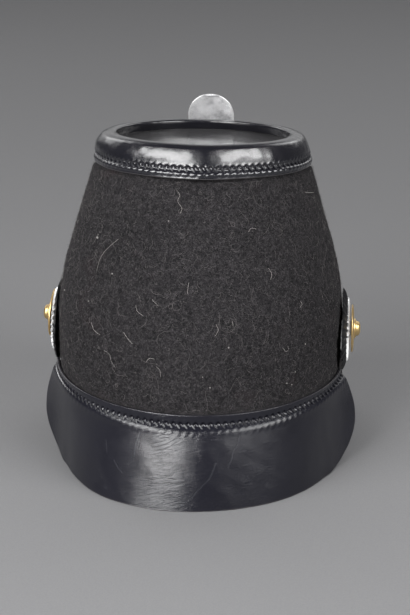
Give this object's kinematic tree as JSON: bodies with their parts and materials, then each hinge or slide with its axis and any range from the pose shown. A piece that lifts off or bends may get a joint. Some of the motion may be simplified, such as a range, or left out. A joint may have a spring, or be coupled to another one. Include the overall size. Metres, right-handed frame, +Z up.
{
  "type": "shako hat",
  "caption": "Tapered black felt shako, open below, with a sewn leather crown, flared leather neck guard and front peak, round-ended badge plate and fluted side cockades.",
  "frame": {"origin": "on the surface that the hat stands on, under the middle of the whole hat", "axes": "+Z up, +Y to the back of the hat, +X to the wearer's left"},
  "size_m": [0.2044, 0.2686, 0.2128],
  "materials": {
    "black_felt": "matt, hairy felt",
    "black_leather": "polished, scuffed",
    "white_metal": "bright, lightly mottled",
    "cockade_lacquer": "gloss lacquer",
    "brass": "polished"
  },
  "bodies": {
    "root": {"felt_body": "black_felt", "crown_band": "black_leather", "crown_disc": "black_leather", "neck_guard": "black_leather", "front_peak": "black_leather", "badge_plate": "white_metal", "cockade_left": "cockade_lacquer", "cockade_right": "cockade_lacquer", "rosette_left": "brass", "rosette_right": "brass"}
  },
  "joints": []
}
